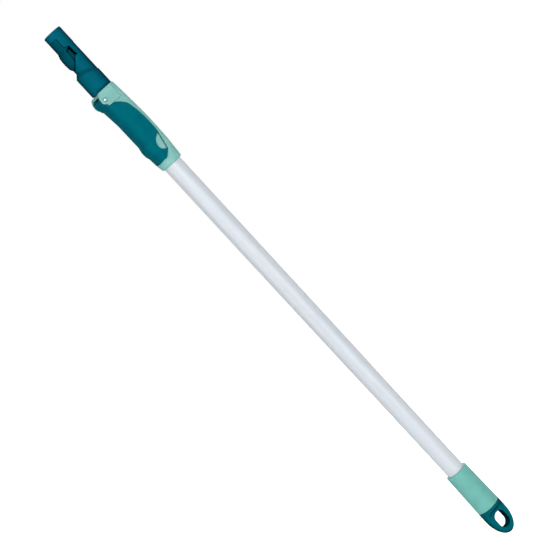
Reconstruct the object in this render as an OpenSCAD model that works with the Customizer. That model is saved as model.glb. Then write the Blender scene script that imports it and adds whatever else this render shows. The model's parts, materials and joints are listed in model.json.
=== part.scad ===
// Telescopic pole handle with a click-in tool connector at the top,
// a lever clamp that holds the inner tube, a soft grip sleeve and
// an end cap with a hanging hole.
// The origin is the middle of the hanging hole, on the pole's axis.
// +Z runs up the pole to the connector and +X points to the lever.

/* [Tubes] */
// Outside diameter of the outer tube
outer_tube_d = 25; // [24:0.5:28]
// Wall of the outer tube
outer_wall = 1; // [0.8:0.1:1.2]
// Outside diameter of the inner tube
inner_tube_d = 19; // [18.4:0.2:19.4]
// Wall of the inner tube
inner_wall = 1; // [0.8:0.1:1.2]
// How far the inner tube slides out
stroke = 500; // [300:5:900]
// Free length of the outer tube under the inner tube when closed
foot_room = 109; // [80:1:200]
// Width of the groove that stops the inner tube from turning
groove_w = 1.8; // [1.4:0.1:2]

/* [Tube fittings] */
// Length of the bush in the top of the outer tube
end_bush_len = 24; // [20:1:30]
// Height of the flange of that bush
end_bush_flange = 2; // [1.5:0.5:3]
// Height of the bush in the mouth of the clamp
mouth_bush_h = 3.4; // [2.4:0.2:3.6]
// Length of the guide under the inner tube
guide_len = 20; // [15:1:30]
// Length of the guide's plug inside the inner tube
guide_plug_len = 30; // [20:1:40]
// Height of the guide's cross pin above the tube's lower end
guide_pin_rise = 13; // [8:1:18]
// Diameter of the guide's cross pin
guide_pin_d = 3; // [2:0.5:4]
// Height of the stop ring above the inner tube's lower end
stop_rise = 22.7; // [20:0.1:30]
// Height of the stop ring
stop_h = 5; // [3:0.5:8]

/* [Connector] */
// Diameter of the spigot that a tool slides onto
spigot_d = 25.3; // [25:0.1:26]
// Length of the spigot beyond the collar, on the lever side
spigot_len = 62.6; // [60:0.2:70]
// Rounding of the spigot's end
spigot_round = 1.2; // [0.6:0.2:2]
// How far the spigot's waist is drawn in behind its end
waist_step = 0.3; // [0.2:0.05:0.5]
// Diameter of the collar
collar_d = 30.2; // [30:0.2:32]
// How far the collar is set off toward the lever
collar_shift = 2.2; // [1:0.1:2.4]
// Length of the collar on the lever side
collar_len = 29.2; // [24:0.2:34]
// Tilt of the collar's front
collar_tilt = 25.4; // [20:0.2:28]
// Steepness of the shoulder's cone
collar_slope = 1.6; // [1.4:0.05:1.8]
// Depth that the inner tube sits in the collar
socket_depth = 7.7; // [5:0.1:12]
// Length of the connector's plug below the collar
plug_len = 28; // [24:1:34]
// Wall of that plug
plug_wall = 2.4; // [2:0.2:3]
// Height of the connector's rivet above the plug's end
rivet_rise = 14; // [10:1:18]
// Diameter of the connector's rivet
rivet_d = 4; // [3:0.5:5]

/* [Latch] */
// Width of the latch's tongue
tongue_w = 21.4; // [20:0.2:22.6]
// Width of the latch's key
key_w = 22.4; // [21.4:0.2:23]
// Opening left beside the key
key_gap = 1.6; // [1.2:0.1:2]
// Width of the key's stem, under its rim
key_stem_w = 16; // [14:0.5:18]
// Height of that rim's lower edge from the pole's axis
key_rim_x = 6.5; // [4:0.5:7]
// How far the key stands out of the spigot
key_rise = 2.5; // [1.5:0.1:3]
// Distance from the spigot's end to the latch's pin
latch_pin_set = 12.6; // [12:0.2:14]
// Distance from the spigot's end to where the tongue widens
tongue_end_set = 22.2; // [21:0.2:24]
// Distance from the spigot's end to the key's widest place
key_apex_set = 35; // [33:0.2:37]
// Length of the key behind its widest place
key_nose_len = 17.4; // [15:0.2:18]
// Length of the key's flat top
key_flat_len = 4.5; // [3:0.5:6]
// Length of the key's brow ahead of the flat top
key_brow_len = 5.6; // [4:0.2:7]
// Drop of the brow
key_brow_drop = 0.45; // [0.4:0.05:0.9]
// Length of the key's front ramp
key_ramp_len = 6.1; // [5:0.1:7]
// Gap beside the latch's tongue
tongue_gap = 0.8; // [0.4:0.1:1]
// Depth of the latch's swing, in degrees
latch_travel = 4.5; // [3:0.1:5]
// Length of the tongue ahead of its pin
latch_lead = 2.7; // [2.4:0.1:2.8]
// Distance from the pole's axis to the latch's pin
latch_pin_out = 1.5; // [1:0.1:1.8]
// Distance from the pole's axis to the underside of the tongue
tongue_floor = 4; // [3.6:0.1:4.4]
// Distance from the pole's axis to the foot of the key
key_floor = 0.4; // [0:0.1:1]
// Length of the key's rear slope
key_heel_len = 4.2; // [4:0.2:6]
// Length of the rounded part above that slope
key_hump_len = 7; // [5:0.5:8]
// Drop of the rounded part
key_hump_drop = 0.55; // [0.3:0.05:0.7]
// Height of the square foot of that slope
key_heel_set = 0.5; // [0.3:0.1:2]
// Room behind the key for its swing
key_rear_gap = 1.2; // [1.1:0.1:1.6]
// Diameter of the latch's pin
latch_pin_d = 2.8; // [2.4:0.2:3]
// Width of the latch's hub on its pin
latch_hub_w = 12; // [10:0.5:14]
// Gap round the latch
latch_gap = 0.3; // [0.25:0.05:0.5]
// Mean diameter of the latch's spring
spring_d = 6; // [5:0.2:7]
// Diameter of the spring's wire
spring_wire = 0.7; // [0.5:0.1:0.9]
// Distance from the spigot's end to the spring
spring_set = 40; // [37:0.5:43]
// Distance from the pole's axis to the top of the spring
spring_top = 10; // [8:0.2:11]
// Distance from the pole's axis to the foot of the spring
spring_foot = 5; // [4.2:0.2:6]
// Turns of the spring
spring_turns = 5; // [4:1:6]
// Depth of the connector's hollow core above its plug
core_rise = 25; // [15:1:28]

/* [Clamp] */
// Length of the clamp's housing
housing_len = 124.2; // [116:0.2:160]
// Length of the housing beyond the outer tube
housing_head = 36; // [34:0.5:42]
// Width of the housing
housing_w = 34; // [33:0.2:35]
// Distance from the pole's axis to the housing's back
housing_back = 15.9; // [15.2:0.1:16.4]
// Rounding of the housing's corners
housing_round = 10; // [8:0.5:12]
// Diameter of the housing's round rear end
rear_end_d = 30.7; // [30:0.1:32]
// Shift of that end away from the lever
rear_shift = 0.3; // [0.1:0.1:0.6]
// Length of the round rear end behind the lever
rear_end_len = 10; // [8:0.2:14]
// Rounding of the rear end's rim
rear_round = 2.4; // [1:0.2:2.4]
// Height of the housing's front wall
front_wall = 3.8; // [3:0.1:4.5]
// Distance from the pole's axis to the top of the front wall
front_rise = 16.6; // [15:0.1:17.5]
// Width over the two ears
ears_w = 37; // [36.6:0.2:38]
// Gap between the two ears
ears_gap = 32.4; // [32:0.1:32.6]
// Place across the pole where the ears have run out into the sides
ear_end_x = -9; // [-10:0.5:-7]
// Radius of each ear round the lever's pin
ear_r = 5.9; // [5.6:0.1:7.4]
// Diameter of the dimple over each end of the lever's pin
dimple_d = 6.1; // [5:0.1:7]
// Depth of that dimple
dimple_h = 1.4; // [0.8:0.1:1.5]
// Width and depth of the groove round the lever's seat
seat_groove = 1.1; // [0.8:0.1:1.3]
// Width of the slot under the lever
top_slot_w = 10; // [8:0.5:12]
// Diameter of the two screws through the housing
screw_d = 2.8; // [2.4:0.1:3]
// Diameter of the screws' heads
screw_head_d = 5.2; // [4.6:0.1:5.6]
// Height of the screws' heads
screw_head_h = 1.2; // [0.9:0.1:1.4]
// Distance from the outer tube's end to the screws
screw_set = 12; // [8:0.5:16]

/* [Lever] */
// Distance from the pole's axis to the lever's pin
pin_out = 14; // [13.6:0.1:14.2]
// Distance from the housing's front to the lever's pin
pin_set = 11.3; // [11.2:0.1:11.8]
// Diameter of the lever's pin
pin_d = 3.2; // [3:0.1:3.4]
// Width over the lever's cheeks
lever_w = 36; // [35.8:0.1:36.4]
// Thickness of each cheek
cheek_t = 2; // [1.6:0.1:2.2]
// Thickness of the lever's back
web_t = 2.3; // [1.8:0.1:2.6]
// Width of the lever's hub between the ears
hub_w = 31.6; // [31.2:0.1:31.7]
// Radius of the side lobes of the lever's nose
hub_r = 7.1; // [6.8:0.1:7.2]
// Reach of those lobes behind the pin
lobe_back = 4; // [3:0.5:5]
// Reach of the nose ahead of the pin
nose_out = 5.6; // [5.2:0.1:6]
// Rounding of the lever's back corners
lever_round = 10.5; // [8:0.5:12]
// Width of the cam between the lobes
cam_w = 21; // [19:0.5:22]
// Mean radius of the cam on the hub
cam_r = 2.9; // [2.7:0.05:3]
// Lift of the brake shoe when the lever is open
shoe_lift = 0.5; // [0.3:0.05:0.6]
// Width of the brake shoe
shoe_w = 17.6; // [15:0.2:18]
// Length of the brake shoe
shoe_len = 15; // [12:0.5:15.4]

/* [Grip sleeve] */
// Length of the sleeve
grip_len = 62.2; // [50:0.2:160]
// Diameter of the sleeve at its top
grip_top_d = 30.8; // [29:0.2:33]
// Diameter of the sleeve at its lower end
grip_low_d = 33; // [31:0.2:34]
// Rounding of the sleeve's rims
grip_round = 0.9; // [0.5:0.1:1.6]

/* [End cap] */
// Diameter of the cap
cap_d = 33.2; // [31:0.2:34]
// Height of the cap's shoulder above the hanging hole
cap_rise = 23; // [21:0.5:30]
// Height of the cap's round part above the hanging hole
cap_bulge = 9; // [7:0.5:11]
// Length of the cap's tip below the hanging hole
cap_tip = 21.6; // [19:0.2:26]
// Width of the hanging hole
hole_w = 16.2; // [12:0.2:17]
// Length of the hanging hole along the pole
hole_len = 23.7; // [18:0.1:25]
// Thickness of the cap at the hanging hole
web_thick = 14.8; // [12:0.2:18]
// Radius of the scoops above the flats
scoop_r = 12; // [8:0.5:14]
// Length of the cap's plug in the outer tube
cap_plug = 35; // [30:1:50]
// Distance from the plug's end to the cap's rivets
cap_rivet_set = 8; // [6:0.5:12]
// Diameter of the cap's rivets
cap_rivet_d = 3; // [2.5:0.5:4]

/* [Fits] */
// Clearance of fixed fits
fit = 0.05; // [0.03:0.01:0.08]
// Clearance of sliding fits
slip = 0.05; // [0.04:0.01:0.08]
// Clearance round the lever
lever_gap = 0.4; // [0.3:0.05:0.5]
// Gap between pieces that stand end to end
end_gap = 0.3; // [0.2:0.05:0.5]

/* [Hidden] */
$fn = 64;

tube_r = outer_tube_d / 2;
bore_r = tube_r - outer_wall;
inner_r = inner_tube_d / 2;
inner_bore_r = inner_r - inner_wall;

// Heights, from the hanging hole up
guide_z = cap_rise + foot_room;
inner_z = guide_z + guide_len;
stop_z = inner_z + stop_rise;
bush_z = stop_z + stop_h + end_gap + stroke;
tube_z = bush_z + end_bush_len;
front_z = tube_z + housing_head;
housing_z = front_z - housing_len;
pin_z = front_z - pin_set;
// The lever's tail stops just above the housing's rear end
lever_len = pin_z - housing_z - rear_end_len - lever_gap;
collar_z = front_z + end_gap;
inner_top = collar_z + socket_depth;
shoulder_z = collar_z + collar_len;
tip_z = shoulder_z + spigot_len;
plug_z = collar_z - plug_len;

spigot_r = spigot_d / 2;
key_r = spigot_r + key_rise;
latch_z = tip_z - latch_pin_set;
apex_z = tip_z - key_apex_set;
nose_z = apex_z - key_nose_len;
waist_r = spigot_r - waist_step;
flat_z = nose_z + key_heel_set + key_heel_len + key_hump_len;
ramp_z = flat_z + key_flat_len;
seat_z = ramp_z + key_brow_len + key_ramp_len;
spring_z = tip_z - spring_set;

// The shoe's outer face lies just under the cam when closed
shoe_x = pin_out - cam_r - shoe_lift / 2 - slip;
shoe_z = pin_z + 2.6 - shoe_len;
ear_z = pin_z - 8.9;
pocket_y = lever_w / 2 - cheek_t - lever_gap / 2;
lever_x = pin_out - 0.7;
top_x = lever_x - lever_gap - 0.2;
groove_x = inner_r + groove_w / 2 - 0.5;

// A flat shape in X and Z, made solid from y0 to y1
module slab_y(y0, y1) {
  translate([0, y1, 0])
    rotate([90, 0, 0])
      linear_extrude(y1 - y0) children();
}

// The same slab on both sides of the pole
module slab_pair(y0, y1) {
  slab_y(y0, y1) children();
  slab_y(-y1, -y0) children();
}

// A flat shape in Y and Z, made solid from x0 to x1
module slab_x(x0, x1) {
  translate([x0, 0, 0])
    rotate([90, 0, 90])
      linear_extrude(x1 - x0) children();
}

// A round bar along Y, from y0 to y1
module bar_y(r, x, z, y0, y1) {
  translate([x, y1, z])
    rotate([90, 0, 0])
      cylinder(r = r, h = y1 - y0);
}

// A round bar along Z, from z0 to z1
module bar_z(r, z0, z1) {
  translate([0, 0, z0])
    cylinder(r = r, h = z1 - z0);
}

// A block given by its two corners
module block(a, b) {
  translate(a)
    cube([b[0] - a[0], b[1] - a[1], b[2] - a[2]]);
}

// A corner arc for a turned outline, centred at [r, z]
function arc(r, z, rad, a0, a1, n) = [
  for (i = [0:n])
    let (a = a0 + (a1 - a0) * i / n)
      [r + rad * cos(a), z + rad * sin(a)]
];

// A groove or a rib on the back of the inner tube
module back_key(r, z0, z1) {
  translate([-groove_x, 0, 0]) bar_z(r, z0, z1);
}

// A ring that guides the inner tube, with a rib for its groove
module guide_ring(r, z0, z1) {
  difference() {
    bar_z(r, z0, z1);
    bar_z(inner_r + slip, z0 - 1, z1 + 1);
  }
  intersection() {
    back_key(groove_w / 2 - 2 * slip, z0, z1);
    bar_z(r - 0.2, z0 - 1, z1 + 1);
  }
}

// The lever's side outline, each point given from its pin
notch_start = [-22.5, 30 - lever_len];
notch_end = [-18, 8.6 - lever_len];
notch_deep = 10.2;

lever_edge_front = [
  [0, -9.5], [-1.3, -9.5], [-6.5, -10.2], [-13.1, -15], [-18.3, -21.1],
  [-20.3, -28.4], [-22.1, -38.2], [-22.9, -46],
  notch_start + [-0.8, 18], notch_start + [-0.6, 8]
];

lever_edge_tail = [
  [-13.3, -lever_len + 4.3], [-8.6, -lever_len + 0.6],
  [-1.3, -lever_len], [-0.5, -lever_len]
];

function notch(n) = [
  for (i = [0:n])
    let (a = 180 * i / n)
      let (mid = (notch_start + notch_end) / 2)
        mid + (notch_start - mid) * cos(a) + [notch_deep * sin(a), 0]
];

function from_pin(pts) = [for (p = pts) p + [pin_out, pin_z]];

pocket_pts = from_pin(concat(
  lever_edge_front, [notch_start, notch_end], lever_edge_tail,
  [[8, -lever_len], [8, -9.5]]
));

// The outline pushed outward by d, side by side
function unit(v) = v / norm(v);
function side_normal(a, b) = let (u = unit(b - a)) [u[1], -u[0]];
function grown(pts, d) = [
  for (i = [0:len(pts) - 1])
    let (
      a = pts[(i + len(pts) - 1) % len(pts)],
      b = pts[i],
      c = pts[(i + 1) % len(pts)],
      p = side_normal(a, b),
      q = side_normal(b, c),
      m = unit(p + q)
    )
      b + m * d / (m * p)
];

module outer_tube() {
  color("gainsboro")
    difference() {
      bar_z(tube_r, cap_rise, tube_z);
      bar_z(bore_r, cap_rise - 1, tube_z + 1);
      for (s = [-1, 1]) {
        y = s * tube_r;
        bar_y(cap_rivet_d / 2 + fit, 0, cap_rivet_z, y - 4, y + 4);
        bar_y(screw_d / 2 + fit, 0, screw_z, y - 4, y + 4);
      }
    }
}

cap_rivet_z = cap_rise + cap_plug - cap_rivet_set;
screw_z = tube_z - screw_set;

module tube_end_bush() {
  color("dimgray")
    difference() {
      union() {
        guide_ring(bore_r - fit, bush_z, tube_z + 0.1);
        guide_ring(tube_r, tube_z, tube_z + end_bush_flange);
      }
      for (s = [-1, 1])
        bar_y(screw_d / 2 + fit, 0, screw_z, s * bore_r - 3, s * bore_r + 3);
    }
}

mouth_z = front_z - 0.2 - mouth_bush_h;
mouth_r = inner_r + 1.45;

module mouth_bush() {
  color("dimgray")
    guide_ring(mouth_r - fit, mouth_z, front_z - 0.2);
}

module inner_tube() {
  color("silver")
    difference() {
      bar_z(inner_r, inner_z, inner_top);
      bar_z(inner_bore_r, inner_z - 1, inner_top + 1);
      back_key(groove_w / 2, inner_z - 1, inner_top + 1);
      bar_y(guide_pin_d / 2 + fit, 0, guide_pin_z, -tube_r, tube_r);
      bar_y(rivet_d / 2 + fit, 0, rivet_z, -tube_r, tube_r);
    }
}

guide_pin_z = inner_z + guide_pin_rise;
rivet_z = plug_z + rivet_rise;

module lower_guide() {
  color("dimgray")
    difference() {
      union() {
        bar_z(bore_r - slip - 0.03, guide_z, inner_z);
        bar_z(inner_bore_r - fit, inner_z - 0.1, inner_z + guide_plug_len);
      }
      bar_z(inner_bore_r - 3, guide_z - 1, inner_z + guide_plug_len + 1);
      bar_y(guide_pin_d / 2 + fit, 0, guide_pin_z, -tube_r, tube_r);
    }
}

module lower_guide_pin() {
  color("silver")
    bar_y(guide_pin_d / 2, 0, guide_pin_z, 0.4 - inner_r, inner_r - 0.4);
}

module stop_ring() {
  color("dimgray")
    difference() {
      bar_z(bore_r - 0.2, stop_z, stop_z + stop_h);
      bar_z(inner_r, stop_z - 1, stop_z + stop_h + 1);
    }
}

module grip_sleeve() {
  z0 = cap_rise + end_gap;
  z1 = z0 + grip_len;
  g = grip_round;
  color("mediumaquamarine")
    rotate_extrude()
      polygon(concat(
        [[tube_r + fit, z1], [tube_r + fit, z0]],
        arc(grip_low_d / 2 - g, z0 + g, g, -90, 0, 6),
        arc(grip_top_d / 2 - g, z1 - g, g, 0, 90, 6)
      ));
}

// The cap's round form, drawn in below the bulge as an oval
module cap_form() {
  r = cap_d / 2;
  drop = cap_bulge + cap_tip;
  n = 20;
  rotate_extrude()
    polygon(concat(
      [[0, cap_rise], [r, cap_rise]],
      [
        for (i = [0:n])
          let (a = 90 * i / n)
            [r * cos(a), cap_bulge - drop * sin(a)]
      ]
    ));
}

// The material taken off one side for the flat and its scoop
module cap_side_cut() {
  y = web_thick / 2;
  slab_x(-cap_d, cap_d)
    union() {
      translate([y, -cap_d * 2]) square([cap_d, cap_d * 2 + cap_bulge - 1]);
      translate([y + scoop_r, cap_bulge - 1]) circle(scoop_r);
    }
}

// The hanging hole, round at both ends
module hanging_hole(r, y) {
  c = hole_len / 2 - hole_w / 2;
  bar_y(r, 0, c, -y, y);
  bar_y(r, 0, -c, -y, y);
  block([-r, -y, -c], [r, y, c]);
}

module end_cap() {
  color("darkslategray")
    difference() {
      union() {
        cap_form();
        bar_z(bore_r - fit, cap_rise - 0.1, cap_rise + cap_plug);
      }
      cap_side_cut();
      mirror([0, 1, 0]) cap_side_cut();
      hanging_hole(hole_w / 2, cap_d);
      for (s = [-1, 1])
        bar_y(
          cap_rivet_d / 2 + fit, 0, cap_rivet_z,
          s > 0 ? bore_r - 4 : -bore_r - 1,
          s > 0 ? bore_r + 1 : 4 - bore_r
        );
    }
}

module cap_rivets() {
  color("silver")
    for (s = [0, 1])
      mirror([0, s, 0])
        bar_y(cap_rivet_d / 2, 0, cap_rivet_z, bore_r - 3.9, tube_r - 0.1);
}

// The lever's pin
module lever_pin() {
  h = ears_w / 2 - dimple_h;
  color("silver") bar_y(pin_d / 2, pin_out, pin_z, -h, h);
}

module housing_screws() {
  color("silver")
    for (s = [0, 1])
      mirror([0, s, 0]) {
        bar_y(screw_d / 2, 0, screw_z, bore_r - 1.5, pocket_y - 0.1);
        bar_y(
          screw_head_d / 2, 0, screw_z,
          pocket_y - screw_head_h, pocket_y
        );
      }
}

// One thin slice of the housing: soft corners of radius r at the
// back, and of radius f at the front
module housing_slice(rise, back, side, r, front, f) {
  for (s = [-1, 1]) {
    translate([r - back, s * (side - r), housing_z + rise])
      cylinder(r = r, h = 0.02, $fn = 40);
    translate([front - f, s * (side - f), housing_z + rise])
      cylinder(r = f, h = 0.02, $fn = 40);
  }
}

// A thin round slice of the housing's rear end
module rear_slice(rise, r) {
  translate([-rear_shift, 0, housing_z + rise]) cylinder(r = r, h = 0.02);
}

module housing_block() {
  a = housing_back;
  b = housing_w / 2;
  r = housing_round;
  x = front_rise;
  hull() {
    for (i = [0:3])
      rear_slice(
        rear_round * (1 - cos(30 * i)),
        rear_end_d / 2 - rear_round * (1 - sin(30 * i))
      );
    rear_slice(rear_end_len, rear_end_d / 2 + 0.1);
    housing_slice(28, a - 0.4, b - 0.4, r, x, 4);
    housing_slice(60, a, b, r, x, 4);
    housing_slice(housing_len - 50, a - 0.5, b, r, x, 4);
    housing_slice(housing_len - 26, a - 1.8, b, r, x, 4);
    housing_slice(housing_len - 11.4, a - 2.8, b, r, x, 4);
    housing_slice(housing_len - 3, a - 3.4, b - 0.2, r, x, 3);
    housing_slice(housing_len - 0.02, a - 3.7, b - 0.8, r, x - 2.2, 2.5);
  }
}

// An ear seen from the side: round below the pin, a quarter oval
// above it
module ear_shape() {
  translate([pin_out, pin_z]) circle(ear_r);
  polygon(concat(
    [
      for (i = [0:12])
        let (a = 7.5 * i)
          [pin_out + ear_r * cos(a), pin_z + pin_set * sin(a)]
    ],
    [[-4, front_z], [-4, ear_z], [pin_out, ear_z]]
  ));
}

// The part of the housing that the lever's shell closes over
module housing_core() {
  r = lever_round - cheek_t - lever_gap;
  y = pocket_y - r;
  z0 = housing_z - 1;
  h = housing_len + 2;
  for (s = [-1, 1])
    translate([top_x - r, s * y, z0]) cylinder(r = r, h = h);
  block([-40, -y, z0], [top_x, y, z0 + h]);
  block([-40, -pocket_y, z0], [top_x - r, pocket_y, z0 + h]);
}

module clamp_housing() {
  wall_z = front_z - front_wall;
  big = 60;
  color("mediumaquamarine")
    difference() {
      union() {
        difference() {
          housing_block();
          // Room for the lever's shell, round a soft-cornered core
          difference() {
            slab_y(-big, big) polygon(grown(pocket_pts, lever_gap));
            housing_core();
          }
          // A groove inside the edge of that room
          slab_pair(pocket_y - seat_groove, big)
            difference() {
              polygon(grown(pocket_pts, lever_gap));
              polygon(grown(pocket_pts, -seat_groove));
            }
          // Room for the lever's nose
          block(
            [8.5, -ears_gap / 2, pin_z - hub_r - lever_gap],
            [big, ears_gap / 2, wall_z]
          );
          block(
            [top_x, -ears_gap / 2, pin_z - 12],
            [big, ears_gap / 2, wall_z]
          );
          slab_pair(cam_w / 2 - lever_gap, ears_gap / 2)
            translate([
              pin_out - hub_r - lever_gap, pin_z - hub_r - lever_gap
            ])
              square([big, wall_z - pin_z + hub_r + lever_gap]);
        }
        slab_pair(ears_gap / 2, ears_w / 2) ear_shape();
        // The ears run out into the sides
        for (s = [0, 1])
          mirror([0, s, 0])
            translate([0, 0, ear_z])
              linear_extrude(front_z - ear_z)
                polygon([
                  [-3, ears_w / 2], [-3, ears_gap / 2 - 2],
                  [ear_end_x, ears_gap / 2 - 2],
                  [ear_end_x, housing_w / 2 - 2.7]
                ]);
      }
      bar_z(tube_r + fit, housing_z - 1, tube_z + end_bush_flange + end_gap);
      bar_z(inner_r + 0.7, tube_z, front_z + 1);
      bar_z(mouth_r, mouth_z, front_z + 1);
      // Channel for the brake shoe
      block(
        [3, -shoe_w / 2 - end_gap, shoe_z - end_gap],
        [big, shoe_w / 2 + end_gap, shoe_z + shoe_len + end_gap]
      );
      // Slot over the outer tube
      block(
        [tube_r - 4, -top_slot_w / 2, housing_z + rear_end_len + 4],
        [big, top_slot_w / 2, ear_z]
      );
      bar_y(pin_d / 2 + fit, pin_out, pin_z, -big, big);
      for (s = [0, 1])
        mirror([0, s, 0]) {
          bar_y(dimple_d / 2, pin_out, pin_z, ears_w / 2 - dimple_h, big);
          bar_y(screw_d / 2 + fit, 0, screw_z, tube_r - 1, big);
          bar_y(
            screw_head_d / 2 + fit, 0, screw_z,
            pocket_y - screw_head_h - fit, big
          );
        }
    }
}

// One thin slice of the lever's outside: its back at x from the
// pole's axis, its back corners rounded by r
module lever_slice(z, x, r) {
  for (s = [-1, 1]) {
    translate([x - r, s * (lever_w / 2 - r), z])
      cylinder(r = r, h = 0.02, $fn = 48);
    translate([-12, s * (lever_w / 2 - 0.5), z])
      cylinder(r = 0.5, h = 0.02, $fn = 16);
  }
}

// The back rises at the nose and has a ridge near the tail
module lever_form() {
  r = lever_round;
  t = pin_z - lever_len;
  b = lever_x + web_t;
  hull() {
    lever_slice(pin_z - 9.52, b + 1.5, r - 3.5);
    lever_slice(pin_z - 16.2, b + 1.3, r - 2);
    lever_slice(pin_z - 23.7, b + 0.8, r - 1);
    lever_slice(pin_z - 34, b + 0.2, r);
  }
  hull() {
    lever_slice(pin_z - 34, b + 0.2, r);
    lever_slice(t + 31.8, b - 0.1, r);
  }
  hull() {
    lever_slice(t + 31.8, b - 0.1, r);
    lever_slice(t + 25.2, b + 1.25, r);
    lever_slice(t + 21.5, b + 1.5, r);
    lever_slice(t + 16.5, b + 1, r);
    lever_slice(t + 12.3, b - 0.5, r);
  }
  hull() {
    lever_slice(t + 12.3, b - 0.5, r);
    lever_slice(t, lever_x + 0.9, r);
  }
}

// The hollow inside the lever, with its own rounded corners
module lever_hollow() {
  r = lever_round - cheek_t;
  y = lever_w / 2 - cheek_t - r;
  z0 = pin_z - lever_len - 1;
  h = lever_len + 1;
  for (s = [-1, 1])
    translate([lever_x - r, s * y, z0]) cylinder(r = r, h = h);
  block([-30, -y - r, z0], [lever_x - r, y + r, z0 + h]);
  block([-30, -y, z0], [lever_x, y, z0 + h]);
}

outline_pts = from_pin(concat(
  lever_edge_front, notch(16), lever_edge_tail,
  [[12, -lever_len], [12, -9.5]]
));

// The nose between the ears, seen from the side
neck_pts = from_pin([
  [-0.7, -10], [2.9, -10], [4.4, -5.2], [nose_out - 0.2, -2],
  [nose_out, 0], [nose_out, 2.6], [nose_out - 0.8, 4.2],
  [3, 4.2], [3, 2.2], [-1, 2.2], [-1, -2], [-0.7, -5]
]);

module clamp_lever() {
  color("teal")
    difference() {
      union() {
        difference() {
          intersection() {
            lever_form();
            slab_y(-lever_w, lever_w) polygon(outline_pts);
          }
          lever_hollow();
        }
        slab_y(-hub_w / 2, hub_w / 2) polygon(neck_pts);
        slab_pair(cam_w / 2, hub_w / 2)
          intersection() {
            translate([pin_out, pin_z]) circle(hub_r);
            translate([pin_out - lobe_back, pin_z - hub_r])
              square([lobe_back + nose_out, 2 * hub_r]);
          }
        bar_y(
          cam_r, pin_out - shoe_lift / 2, pin_z - shoe_lift / 2,
          -cam_w / 2 - 1, cam_w / 2 + 1
        );
      }
      bar_y(pin_d / 2 + slip, pin_out, pin_z, -lever_w, lever_w);
    }
}

module brake_shoe() {
  color("dimgray")
    difference() {
      block(
        [3.4, -shoe_w / 2, shoe_z],
        [shoe_x, shoe_w / 2, shoe_z + shoe_len]
      );
      bar_z(inner_r + slip, shoe_z - 1, shoe_z + shoe_len + 1);
    }
}

// The latch's outline across its face: a tongue, then the wide key
// with an oval nose. g widens the key, n lengthens the nose and
// t widens the tongue.
function latch_side(g, n, t) = concat(
  [
    [tongue_w / 2 + t, latch_z + latch_lead + g],
    [tongue_w / 2 + t, tip_z - tongue_end_set],
    [key_w / 2 + g, tip_z - tongue_end_set - 4.5]
  ],
  [
    for (i = [0:12])
      let (a = 7.5 * i)
        [(key_w / 2 + g) * cos(a), apex_z - (key_nose_len + n) * sin(a)]
  ]
);
function flip(pts) = [
  for (i = [len(pts) - 1:-1:0])
    [-pts[i][0], pts[i][1]]
];
module latch_plan(g, n, t) {
  polygon(concat(latch_side(g, n, t), flip(latch_side(g, n, t))));
}

// The latch's round top: flush tongue, ramp, flat and rear slope
module latch_crown() {
  rotate_extrude()
    polygon([
      [0, nose_z - 1], [waist_r, nose_z - 1],
      [waist_r, nose_z + key_heel_set],
      [key_r - key_hump_drop, flat_z - key_hump_len],
      [key_r, flat_z], [key_r, ramp_z],
      [key_r - key_brow_drop, ramp_z + key_brow_len],
      [spigot_r, seat_z], [spigot_r, latch_z + 9], [0, latch_z + 9]
    ]);
}

// Height of a floor that stays clear of the swinging latch
function swung(x, z) = x - latch_gap - (latch_z - z) * tan(latch_travel + 0.3);

module latch_room() {
  front = latch_z + latch_lead + latch_gap;
  rear = nose_z - key_rear_gap;
  intersection() {
    slab_x(-spigot_r, 2 * spigot_r)
      latch_plan(key_gap, key_rear_gap, tongue_gap);
    slab_y(-2 * spigot_r, 2 * spigot_r)
      polygon([
        [20, front], [swung(tongue_floor, latch_z), front],
        [swung(tongue_floor, latch_z), latch_z],
        [swung(tongue_floor, seat_z), seat_z + latch_gap],
        [swung(key_floor, seat_z), seat_z + latch_gap],
        [swung(key_floor, rear), rear - 1], [20, rear - 1]
      ]);
  }
  h = latch_hub_w / 2 + latch_gap;
  bar_y(latch_lead + latch_gap, latch_pin_out, latch_z, -h, h);
  block([latch_pin_out, -h, latch_z - latch_lead - latch_gap], [8, h, front]);
  bar_y(latch_pin_d / 2, latch_pin_out, latch_z, -9, 9);
  translate([-spring_foot, 0, spring_z])
    rotate([0, 90, 0])
      cylinder(r = spring_d / 2 + 1, h = spring_foot + 6);
}

// The collar leans towards the latch, and its cone ends on a tilted
// line round the spigot
module collar() {
  r = collar_d / 2;
  lean = tan(collar_tilt);
  k = collar_slope;
  step = r + collar_shift - spigot_r;
  line_z = shoulder_z + k * step - lean * (r + collar_shift);
  intersection() {
    translate([collar_shift, 0, collar_z]) cylinder(r = r, h = collar_len + 12);
    multmatrix([[1, 0, 0, 0], [0, 1, 0, 0], [lean, 0, 1, line_z], [0, 0, 0, 1]])
      rotate_extrude()
        polygon([
          [0, -60], [spigot_r + 6, -60], [spigot_r + 6, -6 * k],
          [spigot_r - 6, 6 * k], [0, 6 * k]
        ]);
  }
}

module connector_body() {
  g = spigot_round;
  color("teal")
    difference() {
      union() {
        collar();
        rotate_extrude()
          polygon(concat(
            [
              [0, shoulder_z - 12], [waist_r, shoulder_z - 12],
              [waist_r, seat_z - 0.5], [spigot_r, seat_z]
            ],
            arc(spigot_r - g, tip_z - g, g, 0, 90, 6),
            [[0, tip_z]]
          ));
        bar_z(inner_bore_r - fit, plug_z, inner_top + 1);
      }
      difference() {
        bar_z(inner_r + fit, collar_z - 1, inner_top + 0.1);
        bar_z(inner_bore_r - fit, collar_z - 2, inner_top + 1);
      }
      bar_z(inner_bore_r - plug_wall, plug_z - 1, collar_z + core_rise);
      bar_y(rivet_d / 2 + fit, 0, rivet_z, -tube_r, tube_r);
      latch_room();
    }
}

module connector_rivet() {
  color("silver")
    bar_y(rivet_d / 2, 0, rivet_z, 0.4 - inner_r, inner_r - 0.4);
}

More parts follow.
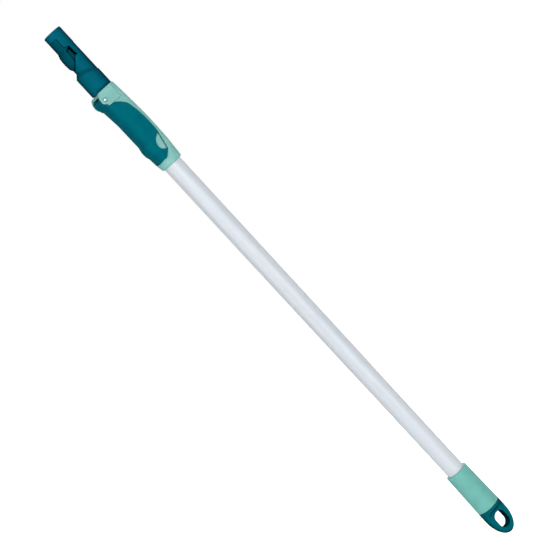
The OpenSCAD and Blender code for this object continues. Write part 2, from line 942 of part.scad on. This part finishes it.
module latch_rocker() {
  h = latch_hub_w / 2;
  color("teal")
    difference() {
      union() {
        intersection() {
          slab_x(key_floor, 2 * spigot_r) latch_plan(0, 0, 0);
          latch_crown();
          slab_y(-2 * spigot_r, 2 * spigot_r)
            polygon([
              [key_floor, nose_z - 2], [30, nose_z - 2],
              [30, latch_z + latch_lead], [tongue_floor, latch_z + latch_lead],
              [tongue_floor, seat_z], [key_floor, seat_z]
            ]);
        }
        bar_y(latch_lead, latch_pin_out, latch_z, -h, h);
        block(
          [latch_pin_out, -h, latch_z - latch_lead],
          [tongue_floor + 1, h, latch_z + latch_lead]
        );
      }
      // The key is narrower under its rim
      slab_pair(key_stem_w / 2, spigot_d)
        polygon([
          [key_floor - 1, nose_z - 3], [key_rim_x, nose_z - 3],
          [key_rim_x, seat_z - 4], [key_floor - 1, seat_z - 1.5]
        ]);
      bar_y(latch_pin_d / 2 + slip, latch_pin_out, latch_z, -h - 1, h + 1);
      translate([key_floor - 1, 0, spring_z])
        rotate([0, 90, 0])
          cylinder(r = spring_d / 2 + 1, h = spring_top - key_floor + 1);
    }
}

module latch_pin() {
  color("silver")
    bar_y(latch_pin_d / 2, latch_pin_out, latch_z, -9, 9);
}

// A coil along X between its seats in the spigot and in the key
module latch_spring() {
  sides = 6;
  steps = 8;
  w = spring_wire / 2;
  x0 = w + 0.05 - spring_foot;
  x1 = spring_top - w - 0.05;
  n = steps * spring_turns;
  function ring(i) = [
    for (k = [0:sides - 1])
      let (
        a = 360 * i / steps,
        b = 360 * k / sides,
        r = spring_d / 2 + w * cos(b)
      )
        [x0 + (x1 - x0) * i / n + w * sin(b), r * cos(a), spring_z + r * sin(a)]
  ];
  pts = [for (i = [0:n]) each ring(i)];
  walls = [
    for (i = [0:n - 1])
      for (k = [0:sides - 1])
        let (a = i * sides + k, b = i * sides + (k + 1) % sides)
          each [[a, a + sides, b], [b, a + sides, b + sides]]
  ];
  first = [for (k = [1:sides - 2]) [0, k, k + 1]];
  m = n * sides;
  last = [for (k = [1:sides - 2]) [m, m + k + 1, m + k]];
  color("silver") polyhedron(pts, concat(walls, first, last));
}

outer_tube();
tube_end_bush();
clamp_housing();
mouth_bush();
housing_screws();
lever_pin();
clamp_lever();
brake_shoe();
grip_sleeve();
end_cap();
cap_rivets();
inner_tube();
lower_guide();
lower_guide_pin();
stop_ring();
connector_body();
connector_rivet();
latch_rocker();
latch_pin();
latch_spring();
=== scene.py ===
# %% [markdown]
# # A telescopic pole handle with a click-in tool connector
# This lesson dresses a packed mechanical model. The frame holds every
# rigid piece at its real size, in metres: +Z runs up the pole to the
# connector, +X points to the clamp's lever, and the origin is the middle
# of the hanging hole. Here each piece gets its finished surface, and the
# moulded pieces get the soft edges that a mould gives them.

# %% Load the frame
import bpy
import bmesh
import json
import math
from mathutils import Matrix, Vector


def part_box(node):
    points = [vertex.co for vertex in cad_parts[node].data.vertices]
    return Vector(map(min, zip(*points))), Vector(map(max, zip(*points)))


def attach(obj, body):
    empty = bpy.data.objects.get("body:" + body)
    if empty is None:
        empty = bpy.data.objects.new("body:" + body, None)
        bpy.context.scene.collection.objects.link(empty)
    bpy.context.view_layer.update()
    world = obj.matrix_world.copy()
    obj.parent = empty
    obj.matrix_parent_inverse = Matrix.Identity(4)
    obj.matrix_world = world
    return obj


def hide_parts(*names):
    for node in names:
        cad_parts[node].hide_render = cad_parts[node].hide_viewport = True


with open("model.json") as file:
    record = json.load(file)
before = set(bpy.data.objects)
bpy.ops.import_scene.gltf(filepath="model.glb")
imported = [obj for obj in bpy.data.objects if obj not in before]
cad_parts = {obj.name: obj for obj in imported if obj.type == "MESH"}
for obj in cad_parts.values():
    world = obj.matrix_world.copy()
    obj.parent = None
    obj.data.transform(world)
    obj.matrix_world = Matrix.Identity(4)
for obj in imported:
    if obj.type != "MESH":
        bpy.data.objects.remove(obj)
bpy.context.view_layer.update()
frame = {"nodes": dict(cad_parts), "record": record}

# %% [markdown]
# ## Three small helpers
# Cameras, lamps and pieces all start the same way in Blender: a data
# block is made, an object is wrapped round it, and the object is linked
# to the scene. A built bmesh likewise always ends as a mesh and is then
# freed. And both the camera and the lamps are placed by a compass
# direction and a rise, which one function turns into a vector.

# %% Helpers
def add_object(name, data):
    obj = bpy.data.objects.new(name, data)
    bpy.context.scene.collection.objects.link(obj)
    return obj

def mesh_from(bm, name):
    mesh = bpy.data.meshes.new(name)
    bm.to_mesh(mesh)
    bm.free()
    return mesh

def outward(azimuth, rise):
    """The unit vector azimuth degrees round from -Y and rise degrees up."""
    a, e = math.radians(azimuth), math.radians(rise)
    return Vector((math.sin(a) * math.cos(e), -math.cos(a) * math.cos(e), math.sin(e)))

print("straight up is", [round(v, 3) for v in outward(0, 90)])

# %% [markdown]
# ## The camera
# A long lens far away keeps a thin pole from looking tapered. The pole
# stands upright in the frame, so the camera is rolled about its own
# line of sight to lay the pole across the picture. The rolled axes come
# from the plain ones with a sine and a cosine, which is easier to follow
# than three chained angles.

# %% Camera
def aim_camera(target, azimuth, rise, distance, roll, lens):
    a, r = math.radians(azimuth), math.radians(roll)
    back = outward(azimuth, rise)
    right = Vector((math.cos(a), math.sin(a), 0))
    up = back.cross(right)
    up_r = math.cos(r) * up + math.sin(r) * right
    right_r = math.cos(r) * right - math.sin(r) * up
    data = bpy.data.cameras.new("view_camera")
    data.lens, data.sensor_width = lens, 36
    data.clip_start, data.clip_end = 0.05, 50
    cam = add_object("view_camera", data)
    turn = Matrix((right_r, up_r, back)).transposed().to_4x4()
    turn.translation = Vector(target) + back * distance
    cam.matrix_world = turn
    bpy.context.scene.camera = cam
    return cam

camera = aim_camera(target=(-0.0002, 0.0001, 0.4185), azimuth=160, rise=7,
                    distance=2.125, roll=42.71, lens=109.29)
print("camera at", [round(v, 3) for v in camera.location])

# %% [markdown]
# ## The stage
# The floor is a plain pale sheet under the hanging pole. The camera and
# glossy surfaces should see clean white, while the plastic is lit at a
# plain level, so the world's strength depends on the kind of ray: full
# white for camera, glossy and clear rays, and a softer grey for the
# light that falls on the pole. The floor works the same way. It keeps
# its diffuse shading, so the pole's shadow stays, and adds a glow that
# only the camera and glossy surfaces see.

# %% Strength by ray
def strength_by_ray(tree, seen, lit):
    """The value seen for camera, glossy and clear rays, and lit for the rest."""
    path = tree.nodes.new("ShaderNodeLightPath")
    add = tree.nodes.new("ShaderNodeMath")
    more = tree.nodes.new("ShaderNodeMath")
    add.operation = more.operation = "ADD"
    more.use_clamp = True
    tree.links.new(path.outputs["Is Camera Ray"], add.inputs[0])
    tree.links.new(path.outputs["Is Glossy Ray"], add.inputs[1])
    tree.links.new(add.outputs[0], more.inputs[0])
    tree.links.new(path.outputs["Is Transmission Ray"], more.inputs[1])
    level = tree.nodes.new("ShaderNodeMapRange")
    tree.links.new(more.outputs[0], level.inputs["Value"])
    level.inputs["To Min"].default_value = lit
    level.inputs["To Max"].default_value = seen
    return level.outputs["Result"]

def make_world(lit):
    world = bpy.data.worlds.new("studio")
    bpy.context.scene.world = world
    world.use_nodes = True
    tree = world.node_tree
    sky = tree.nodes["Background"]
    sky.inputs["Color"].default_value = (1, 1, 1, 1)
    tree.links.new(strength_by_ray(tree, 1.0, lit), sky.inputs["Strength"])
    return world

world = make_world(lit=0.12)
print("world:", world.name, "with", len(world.node_tree.nodes), "nodes")

# %% Floor
def make_floor(height, half, glow):
    bm = bmesh.new()
    bmesh.ops.create_grid(bm, x_segments=8, y_segments=8, size=half,
                          matrix=Matrix.Translation((0, 0, height)))
    mat = bpy.data.materials.new("pale_floor")
    mat.use_nodes = True
    tree = mat.node_tree
    shader = tree.nodes["Principled BSDF"]
    shader.inputs["Base Color"].default_value = (0.9, 0.9, 0.9, 1)
    shader.inputs["Roughness"].default_value = 0.9
    shader.inputs["Specular IOR Level"].default_value = 0
    shader.inputs["Emission Color"].default_value = (1, 1, 1, 1)
    tree.links.new(strength_by_ray(tree, glow, 0.0), shader.inputs["Emission Strength"])
    sheet = add_object("floor", mesh_from(bm, "floor"))
    sheet.data.materials.append(mat)
    return sheet

floor = make_floor(height=-0.30, half=6.0, glow=0.9)
bpy.context.scene.view_settings.view_transform = "Standard"
print("floor at", floor.data.vertices[0].co.z)

# %% [markdown]
# ## Studio lamps
# A broad key lamp hangs almost beside the camera, so that round pieces
# fall off softly to both edges. A weaker lamp on each side keeps those
# edges from going black, the one on the lever's side being stronger, and
# a back lamp keeps the far side readable. A lamp's power is its share of
# the plain level times pi squared times its distance squared. The shares
# of the lamps that reach a surface, and the world's, add up to about
# one there, so a colour renders about as it is written.

# %% Lamps
POLE_MIDDLE = Vector((0, 0, 0.42))
TALL = 1.6

def soft_lamp(name, azimuth, rise, distance, share, width):
    data = bpy.data.lights.new(name, "AREA")
    data.shape = "RECTANGLE"
    data.size, data.size_y = width, TALL
    data.energy = share * math.pi ** 2 * distance ** 2
    lamp = add_object(name, data)
    out = outward(azimuth, rise)
    lamp.location = POLE_MIDDLE + out * distance
    lamp.rotation_mode = "QUATERNION"
    lamp.rotation_quaternion = out.to_track_quat("Z", "Y")
    return lamp

lamps = [
    soft_lamp("key_lamp", azimuth=164, rise=12, distance=2.4, share=0.6, width=0.7),
    soft_lamp("far_lamp", azimuth=222, rise=6, distance=2.2, share=0.14, width=0.5),
    soft_lamp("side_lamp", azimuth=96, rise=6, distance=2.2, share=0.24, width=0.5),
    soft_lamp("back_lamp", azimuth=330, rise=25, distance=2.4, share=0.5, width=1.2),
]
print("lamps:", {o.name: round(o.data.energy, 1) for o in lamps})

# %% [markdown]
# ## Colours
# Screen colours are easier to choose than linear ones, so a helper turns
# the familiar 0 to 255 numbers into the linear values that shaders use.
# The curve is the sRGB one: straight near black and a power above it.

# %% Colour helper
def linear(level):
    v = level / 255
    return v / 12.92 if v <= 0.04045 else ((v + 0.055) / 1.055) ** 2.4

def screen(r, g, b):
    return (linear(r), linear(g), linear(b), 1.0)

print("mid grey is", [round(v, 3) for v in screen(128, 128, 128)])

# %% [markdown]
# ## Building blocks for effects
# An effect that several materials share is a node group. Its inputs are
# named sockets, one for each value that a material may choose, and what
# it puts out is always the same three things: a colour, a roughness and
# a height. The shader stays in each material. Three short functions wire
# the nodes that both effects below are made of: a noise, a change of
# range, and a blend of two colours. A noise seldom comes near 0 or 1, so
# the span that most of its values lie in is what gets stretched.

# %% Node helpers
NOISE_SPAN = (0.35, 0.65)

def effect_group(name, inputs):
    """A group with these inputs: None is a vector, a tuple a colour, else a number."""
    kinds = {type(None): "NodeSocketVector", tuple: "NodeSocketColor",
             float: "NodeSocketFloat"}
    g = bpy.data.node_groups.new(name, "ShaderNodeTree")
    for label, value in inputs.items():
        s = g.interface.new_socket(name=label, in_out="INPUT",
                                   socket_type=kinds[type(value)])
        if value is not None:
            s.default_value = value
    for label, kind in (("Colour", "NodeSocketColor"),
                        ("Roughness", "NodeSocketFloat"), ("Height", "NodeSocketFloat")):
        g.interface.new_socket(name=label, in_out="OUTPUT", socket_type=kind)
    return g, g.nodes.new("NodeGroupInput").outputs, g.nodes.new("NodeGroupOutput").inputs

def feed(tree, value, into):
    """Sets an input to a number, or links it to a socket."""
    if isinstance(value, (int, float)):
        into.default_value = value
    else:
        tree.links.new(value, into)

def noise(tree, vector, scale, detail, rough=0.5):
    n = tree.nodes.new("ShaderNodeTexNoise")
    n.inputs["Detail"].default_value = detail
    n.inputs["Roughness"].default_value = rough
    tree.links.new(vector, n.inputs["Vector"])
    feed(tree, scale, n.inputs["Scale"])
    return n.outputs["Fac"]

def spread(tree, value, low, high, to_low, to_high):
    """Maps value from low..high to to_low..to_high; any end may be a socket."""
    r = tree.nodes.new("ShaderNodeMapRange")
    tree.links.new(value, r.inputs["Value"])
    ends = {"From Min": low, "From Max": high, "To Min": to_low, "To Max": to_high}
    for label, end in ends.items():
        feed(tree, end, r.inputs[label])
    return r.outputs["Result"]

def blend_colours(tree, fac, a, b):
    m = tree.nodes.new("ShaderNodeMix")
    m.data_type = "RGBA"
    for label, value in (("Factor", fac), ("A", a), ("B", b)):
        tree.links.new(value, m.inputs[label])
    return m.outputs["Result"]

print("node helpers:", [f.__name__ for f in (effect_group, noise, spread, blend_colours)])

# %% [markdown]
# ## A shared effect: moulded skin and painted shade
# Moulded plastic is never quite even. A mould leaves a very fine grain,
# the colour clouds a little where the melt cooled at different speeds,
# and handling leaves patches that shine slightly more. One node group
# makes all three from noise in Object coordinates, and every plastic
# uses it with its own values.
#
# Slots, dimples and the wall of a hole get less light, and this group
# also paints that shade into the colour, so they read darker than open
# skin. An Ambient Occlusion node tells how open a spot is, and the colour
# fades to a painted shade colour where it isn't. Its reach should be
# about as long as the slots and holes of that piece are wide. One node
# looks at the piece alone and one at its neighbours too, and a share
# between them says how much shade a neighbour may paint on it. A spot
# that is open enough keeps its unshaded colour, so a lower value of that
# input leaves shallow steps alone and paints shade only into deep holes.

# %% Moulded skin and painted shade group
PATCH_SCALE = 35.0
CREASE_SAMPLES = 6
FULLY_CREASED = 0.5

def openness(tree, reach, alone):
    """How open a spot is, seen against its own piece or its neighbours too."""
    air = tree.nodes.new("ShaderNodeAmbientOcclusion")
    air.samples, air.only_local = CREASE_SAMPLES, alone
    tree.links.new(reach, air.inputs["Distance"])
    return air.outputs["AO"]

def build_skin_and_painted_shade():
    g, given, put_out = effect_group("skin_and_painted_shade", {
        "Vector": None, "Colour": (0.5, 0.5, 0.5, 1), "Cloud Colour": (0.5, 0.5, 0.5, 1),
        "Grain Scale": 1500.0, "Cloud Scale": 60.0,
        "Smooth Roughness": 0.4, "Rough Roughness": 0.5,
        "Painted Crease Shade": (0.1, 0.1, 0.1, 1), "Crease Reach": 0.005,
        "Neighbour Share": 0.0, "Open Enough": 0.97,
    })
    clouds = noise(g, given["Vector"], given["Cloud Scale"], detail=4)
    grain = noise(g, given["Vector"], given["Grain Scale"], detail=2)
    patches = noise(g, given["Vector"], PATCH_SCALE, detail=2, rough=0.6)
    fac = spread(g, clouds, *NOISE_SPAN, 0.0, 1.0)
    # The clouds give the plastic's own colour, before any painted shade.
    unshaded = blend_colours(g, fac, given["Colour"], given["Cloud Colour"])
    # Painted shade: how open a spot is decides how far its colour is darkened.
    open_air = spread(g, given["Neighbour Share"], 0.0, 1.0,
                      openness(g, given["Crease Reach"], alone=True),
                      openness(g, given["Crease Reach"], alone=False))
    # bare is the share that keeps the unshaded colour; the rest is painted crease shade.
    bare = spread(g, open_air, FULLY_CREASED, given["Open Enough"], 0.0, 1.0)
    colour = blend_colours(g, bare, given["Painted Crease Shade"], unshaded)
    rough = spread(g, patches, *NOISE_SPAN,
                   given["Smooth Roughness"], given["Rough Roughness"])
    g.links.new(colour, put_out["Colour"])
    g.links.new(rough, put_out["Roughness"])
    g.links.new(grain, put_out["Height"])
    return g

skin_and_painted_shade = build_skin_and_painted_shade()
print(skin_and_painted_shade.name, "has", len(skin_and_painted_shade.nodes), "nodes")

# %% [markdown]
# ## A shared effect: drawn metal
# A tube is pulled through a die, which leaves faint straight lines along
# it. Squeezing the coordinates along Z before the noise stretches every
# speck into a line, so the same noise node that makes clouds also makes
# drawn lines. The lines change the roughness and the height, and tint
# the colour a little.

# %% Drawn metal group
SQUEEZE = (1, 1, 0.012)
BAND_SCALE = 160.0
LINE_SPAN = (0.3, 0.7)

def make_drawn_metal():
    g, given, put_out = effect_group("drawn_metal", {
        "Vector": None, "Colour": (0.7, 0.7, 0.7, 1), "Line Colour": (0.6, 0.6, 0.6, 1),
        "Line Scale": 900.0, "Smooth Roughness": 0.3, "Rough Roughness": 0.45,
    })
    squeeze = g.nodes.new("ShaderNodeMapping")
    squeeze.inputs["Scale"].default_value = SQUEEZE
    g.links.new(given["Vector"], squeeze.inputs["Vector"])
    lines = noise(g, squeeze.outputs["Vector"], given["Line Scale"], detail=3)
    bands = noise(g, squeeze.outputs["Vector"], BAND_SCALE, detail=2)
    fac = spread(g, bands, *NOISE_SPAN, 0.0, 1.0)
    colour = blend_colours(g, fac, given["Colour"], given["Line Colour"])
    rough = spread(g, lines, *LINE_SPAN,
                   given["Smooth Roughness"], given["Rough Roughness"])
    g.links.new(colour, put_out["Colour"])
    g.links.new(rough, put_out["Roughness"])
    g.links.new(lines, put_out["Height"])
    return g

drawn_metal = make_drawn_metal()
print(drawn_metal.name, "has", len(drawn_metal.nodes), "nodes")

# %% [markdown]
# ## Building a material from an effect
# Every finish here is one Principled shader fed by one effect group. The
# numbers that are the same all over a surface, such as the specular
# level, are set on the shader itself. The height goes through a Bump
# node, whose distance is the real depth of the grain in metres.

# %% Material helper
def finish(name, effect, values, shader, strength, depth):
    mat = bpy.data.materials.new(name)
    mat.use_nodes = True
    tree = mat.node_tree
    principled = tree.nodes["Principled BSDF"]
    for label, value in shader.items():
        principled.inputs[label].default_value = value
    skin = tree.nodes.new("ShaderNodeGroup")
    skin.node_tree = effect
    for label, value in values.items():
        skin.inputs[label].default_value = value
    where = tree.nodes.new("ShaderNodeTexCoord")
    relief = tree.nodes.new("ShaderNodeBump")
    relief.inputs["Strength"].default_value = strength
    relief.inputs["Distance"].default_value = depth
    for source, into in ((where.outputs["Object"], skin.inputs["Vector"]),
                         (skin.outputs["Colour"], principled.inputs["Base Color"]),
                         (skin.outputs["Roughness"], principled.inputs["Roughness"]),
                         (skin.outputs["Height"], relief.inputs["Height"]),
                         (relief.outputs["Normal"], principled.inputs["Normal"])):
        tree.links.new(source, into)
    return mat

finishes = {}
print("effects to build with:", [e.name for e in (skin_and_painted_shade, drawn_metal)])

# %% [markdown]
# ## Pale plastics
# The clamp body and the grip are a pale sea-green plastic with a dry,
# slightly chalky skin. A thin sheen keeps their edges light, as chalky
# skins do. The grip is a touch softer and greener, with a coarser grain.

# %% Pale plastics
finishes["light_plastic"] = finish("sea_green_plastic", skin_and_painted_shade, {
    "Colour": screen(141, 202, 195), "Cloud Colour": screen(132, 194, 187),
    "Grain Scale": 1600.0, "Cloud Scale": 90.0,
    "Smooth Roughness": 0.5, "Rough Roughness": 0.62,
    # The crease colour below is painted shade for slots, dimples and holes.
    "Painted Crease Shade": screen(24, 70, 63), "Crease Reach": 0.003,
    "Neighbour Share": 0.5,
}, {"Specular IOR Level": 0.12, "Sheen Weight": 0.25, "Sheen Roughness": 0.5,
    "Sheen Tint": screen(132, 196, 185)}, strength=0.25, depth=0.00012)
finishes["grip_plastic"] = finish("sea_green_grip_plastic", skin_and_painted_shade, {
    "Colour": screen(124, 197, 188), "Cloud Colour": screen(117, 190, 180),
    "Grain Scale": 1200.0, "Cloud Scale": 75.0,
    "Smooth Roughness": 0.52, "Rough Roughness": 0.64,
    # The crease colour below is painted shade for slots, dimples and holes.
    "Painted Crease Shade": screen(30, 80, 72), "Crease Reach": 0.0025,
}, {"Specular IOR Level": 0.12, "Sheen Weight": 0.12, "Sheen Roughness": 0.5,
    "Sheen Tint": screen(84, 172, 158)}, strength=0.3, depth=0.00014)
print("pale plastics:", sorted(finishes))

# %% [markdown]
# ## Deep plastics
# The lever, the connector, its latch key and the end cap are deep teal,
# each with its own gloss. The lever is matt, and the connector is
# smoother because it slides into tools. The latch key wears the
# connector's resin with painted shade: a darker copy of its colour
# stands in for the shade that falls on the key's slope and in the recess
# round it. The small fittings inside the pole are dark nylon.
#
# The connector, the key and the cap are a clear resin with a little dye
# in it. Light that leaves at a shallow angle has gone through more dye,
# so a round piece of it turns deep towards its edges. The shader's coat
# does that: its tint grows with the length of the way through it. Its
# IOR of one gives it no shine of its own, and the colour under it is a
# little lighter than the look one is after.

# %% Deep plastics
finishes["dark_plastic"] = finish("teal_lever_plastic", skin_and_painted_shade, {
    "Colour": screen(0, 108, 122), "Cloud Colour": screen(1, 101, 117),
    "Grain Scale": 1400.0, "Cloud Scale": 70.0,
    "Smooth Roughness": 0.5, "Rough Roughness": 0.6,
    # The crease colour below is painted shade for slots, dimples and holes.
    "Painted Crease Shade": screen(0, 30, 36), "Crease Reach": 0.003,
    "Neighbour Share": 0.3,
}, {"Specular IOR Level": 0.02, "IOR": 1.2, "Sheen Weight": 0.1,
    "Sheen Roughness": 0.5, "Sheen Tint": screen(2, 100, 116)},
    strength=0.25, depth=0.0001)
for slot, material, colour, cloud in (
        ("connector_plastic", "teal_connector_plastic", (6, 129, 151), (7, 122, 144)),
        # The key's colours are the connector's, darker: painted shade for its slope and
        # recess.
        ("key_plastic_painted_shade", "teal_key_plastic", (4, 106, 125), (5, 100, 118))):
    finishes[slot] = finish(material, skin_and_painted_shade, {
        "Colour": screen(*colour), "Cloud Colour": screen(*cloud),
        "Grain Scale": 2200.0, "Cloud Scale": 55.0,
        "Smooth Roughness": 0.34, "Rough Roughness": 0.44,
        # The crease colour below is painted shade for slots, dimples and holes.
        "Painted Crease Shade": screen(0, 20, 28), "Crease Reach": 0.005,
        "Neighbour Share": 0.7,
    }, {"Specular IOR Level": 0.02, "IOR": 1.2, "Coat Weight": 1.0, "Coat IOR": 1.0,
        "Coat Roughness": 0.35, "Coat Tint": (0.55, 0.62, 0.64, 1)},
        strength=0.15, depth=0.00006)
finishes["cap_plastic"] = finish("teal_cap_plastic", skin_and_painted_shade, {
    "Colour": screen(2, 129, 142), "Cloud Colour": screen(3, 121, 135),
    "Grain Scale": 1800.0, "Cloud Scale": 80.0,
    "Smooth Roughness": 0.42, "Rough Roughness": 0.52,
    # The crease colour below is painted shade for the cap's hole and creases.
    "Painted Crease Shade": screen(0, 18, 22), "Crease Reach": 0.018,
    "Open Enough": 0.78,
}, {"Specular IOR Level": 0.015, "IOR": 1.2, "Coat Weight": 1.0, "Coat IOR": 1.0,
    "Coat Roughness": 0.4, "Coat Tint": (0.6, 0.7, 0.7, 1)},
    strength=0.2, depth=0.0001)
finishes["fitting"] = finish("dark_nylon", skin_and_painted_shade, {
    "Colour": screen(52, 56, 58), "Cloud Colour": screen(44, 48, 50),
    "Grain Scale": 1500.0, "Cloud Scale": 120.0,
    "Smooth Roughness": 0.4, "Rough Roughness": 0.5,
    # The crease colour below is painted shade for slots, dimples and holes.
    "Painted Crease Shade": screen(20, 22, 23), "Crease Reach": 0.004,
}, {"Specular IOR Level": 0.3}, strength=0.2, depth=0.00008)
print("plastics:", sorted(finishes))

# %% [markdown]
# ## Two metals
# The tubes are satin aluminium under a thin clear film, so they look
# almost white in a bright room. A fully metallic shader would mirror the
# dark room of another scene too strongly, so the film is a partly
# metallic base. The pins, screws, rivets and spring are bare steel.

# %% Metals
finishes["tube"] = finish("satin_tube", drawn_metal, {
    "Colour": screen(204, 209, 214), "Line Colour": screen(197, 202, 208),
    "Line Scale": 900.0, "Smooth Roughness": 0.66, "Rough Roughness": 0.76,
}, {"Metallic": 0.6, "Specular IOR Level": 0.1}, strength=0.06, depth=0.00004)
finishes["steel"] = finish("bare_steel", drawn_metal, {
    "Colour": screen(196, 198, 202), "Line Colour": screen(178, 181, 186),
    "Line Scale": 2400.0, "Smooth Roughness": 0.22, "Rough Roughness": 0.34,
}, {"Metallic": 1.0}, strength=0.05, depth=0.00003)
print("metals:", [finishes[key].name for key in ("tube", "steel")])

# %% [markdown]
# ## Dressing the carried nodes
# The frame's own solids stay where their shape is right, and only get a
# finish. The record names a material slot for each of them. Two pieces
# wear a finish of their own within their slot: the grip sleeve, which is
# a softer grade than the clamp body, and the latch key, whose finish is
# the connector's resin with painted shade.

# %% Finishes on the carried nodes
slot_of = {s["node"]: s["material_slot"] for s in frame["record"]["subparts"]}
worn = dict(slot_of, grip_sleeve="grip_plastic", latch_rocker="key_plastic_painted_shade")
for node, obj in frame["nodes"].items():
    obj.data.materials.clear()
    obj.data.materials.append(finishes[worn[node]])
print("dressed", len(frame["nodes"]), "nodes")

# %% [markdown]
# ## Copies that stand for a node
# A carried node's mesh is loose triangles and is never changed, so a
# piece with softer edges is made from a copy whose doubles are merged.
# The copy's modifiers are then applied, it gets the node's finish, and
# it is attached to the body it rides on while the node it stands for is
# hidden.

# %% Copying helpers
WELD = 2e-6

def merged_copy(node):
    bm = bmesh.new()
    bm.from_mesh(frame["nodes"][node].data)
    bmesh.ops.remove_doubles(bm, verts=bm.verts, dist=WELD)
    return bm

def settle(piece):
    """Applies the piece's modifiers and keeps the result as its mesh."""
    bpy.context.view_layer.update()
    done = bpy.data.meshes.new_from_object(
        piece.evaluated_get(bpy.context.evaluated_depsgraph_get()))
    piece.modifiers.clear()
    piece.data = done
    done.name = piece.name
    done.shade_smooth()

def dress(piece, node):
    piece.data.materials.clear()
    piece.data.materials.append(finishes[worn[node]])

def stand_in(piece, node, body):
    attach(piece, body)
    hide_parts(node)
    tris = sum(len(p.vertices) - 2 for p in piece.data.polygons)
    print(piece.name, "has", tris, "triangles")

print("doubles closer than", WELD, "m are merged")

# %% [markdown]
# ## Soft moulded edges
# A mould never makes a knife edge: every corner of a plastic piece is
# rounded by half a millimetre or so, and that rounding is what catches
# the light. One could bevel each edge, but these solids have hundreds of
# edges that meet at shallow angles, where a bevel trips over itself. The
# merged copy is melted instead: a voxel Remesh skins it evenly, and a
# few Smooth passes round what was sharp. The voxel size sets the radius,
# and the smoothing pulls outer corners inward, so the piece stays inside
# its solid's box. Small pieces get a finer voxel, and each one is about
# as fine as a budget of 200,000 triangles allows.

# %% The moulded pieces
def moulded(name, node, body, voxel, passes):
    piece = add_object(name, mesh_from(merged_copy(node), name))
    skin = piece.modifiers.new("skin", "REMESH")
    skin.mode, skin.voxel_size = "VOXEL", voxel
    soft = piece.modifiers.new("soft", "SMOOTH")
    soft.factor, soft.iterations = 0.5, passes
    settle(piece)
    dress(piece, node)
    stand_in(piece, node, body)

moulded("latch_key", "latch_rocker", "latch", voxel=0.00022, passes=4)
moulded("clamp_body", "clamp_housing", "handle", voxel=0.00055, passes=2)
moulded("lever", "clamp_lever", "lever", voxel=0.00042, passes=3)
moulded("hanging_cap", "end_cap", "handle", voxel=0.00036, passes=4)

# %% [markdown]
# ## The connector, with eased edges
# The thinnest gap between the connector and its latch key is 0.3 mm
# wide, and a voxel skin would blur it. The connector is mostly turned
# shapes with a few clean cuts, so here a real bevel works: coplanar
# triangles are first dissolved into whole faces, and a narrow Bevel then
# eases every edge that turns by more than about thirty degrees.

# %% The connector
FLAT_TURN, EDGE_TURN, SHARP_TURN = (math.radians(v) for v in (1.5, 32, 28))

def eased(name, node, body, width):
    bm = merged_copy(node)
    bmesh.ops.dissolve_limit(bm, angle_limit=FLAT_TURN, verts=bm.verts, edges=bm.edges)
    piece = add_object(name, mesh_from(bm, name))
    edge = piece.modifiers.new("edge", "BEVEL")
    edge.width, edge.segments = width, 3
    edge.limit_method, edge.angle_limit = "ANGLE", EDGE_TURN
    settle(piece)
    piece.data.set_sharp_from_angle(angle=SHARP_TURN)
    dress(piece, node)
    stand_in(piece, node, body)

eased("connector", "connector_body", "extension", width=0.00025)

# %% [markdown]
# ## The lever's pin, with formed heads
# The steel pin is held by its ends, which are pressed into low domes in
# their dimples. A dome like this is half of a turned shape: a short
# profile of a few vertices is spun once round the pin's own axis, and
# the near half is mirrored to make the far one. A spin leaves its faces
# in an order that changes from run to run, so they are sorted by their
# corners' numbers at the end.

# %% The pin
UNDERCUT, LIP = 0.0002, 0.0001
DOME_STEPS, TURN_STEPS = 6, 48
SAME_SPOT, ON_PLANE = 1e-6, 1e-7
RIM_TURN = math.radians(40)

def pin_profile(radius, end, head, rise):
    """Radius and place along the pin, from its middle out to its domed end."""
    profile = [(0, 0), (radius, 0), (radius, end - UNDERCUT),
               (head, end - UNDERCUT), (head, end + LIP)]
    for i in range(1, DOME_STEPS + 1):
        a = math.radians(90 * i / DOME_STEPS)
        profile.append((head * math.cos(a), end + LIP + rise * math.sin(a)))
    return profile

def corner_key(face):
    """A number of its own for each face of a mesh of fewer than 1000 vertices."""
    corners = sorted(v.index for v in face.verts)
    return sum(index * 1000 ** i for i, index in enumerate(corners))

def turned_pin(name, node, body, head, rise, slot):
    low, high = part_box(node)
    x, z = (low[0] + high[0]) / 2, (low[2] + high[2]) / 2
    radius, end = (high[0] - low[0]) / 2, high[1]
    bm = bmesh.new()
    rim = [bm.verts.new((x + r, y, z)) for r, y in pin_profile(radius, end, head, rise)]
    edges = [bm.edges.new(pair) for pair in zip(rim, rim[1:])]
    bmesh.ops.spin(bm, geom=rim + edges, cent=(x, 0, z), axis=(0, 1, 0),
                   angle=math.tau, steps=TURN_STEPS, use_merge=True)
    bmesh.ops.remove_doubles(bm, verts=bm.verts, dist=SAME_SPOT)
    middle = [f for f in bm.faces if all(abs(v.co.y) < ON_PLANE for v in f.verts)]
    bmesh.ops.delete(bm, geom=middle, context="FACES")
    bmesh.ops.mirror(bm, geom=bm.verts[:] + bm.edges[:] + bm.faces[:],
                     axis="Y", merge_dist=SAME_SPOT)
    bmesh.ops.remove_doubles(bm, verts=bm.verts, dist=SAME_SPOT)
    loose = [v for v in bm.verts if not v.link_faces]
    bmesh.ops.delete(bm, geom=loose, context="VERTS")
    bmesh.ops.recalc_face_normals(bm, faces=bm.faces)
    bm.verts.index_update()
    bm.faces.sort(key=corner_key)
    pin = add_object(name, mesh_from(bm, name))
    pin.data.shade_smooth()
    pin.data.set_sharp_from_angle(angle=RIM_TURN)
    pin.data.materials.append(finishes[slot])
    stand_in(pin, node, body)
    return pin

pin = turned_pin("formed_pin", "lever_pin", "handle", head=0.0018, rise=0.0005,
                 slot="steel")
print("pin runs to", round(max(v.co.y for v in pin.data.vertices), 4))
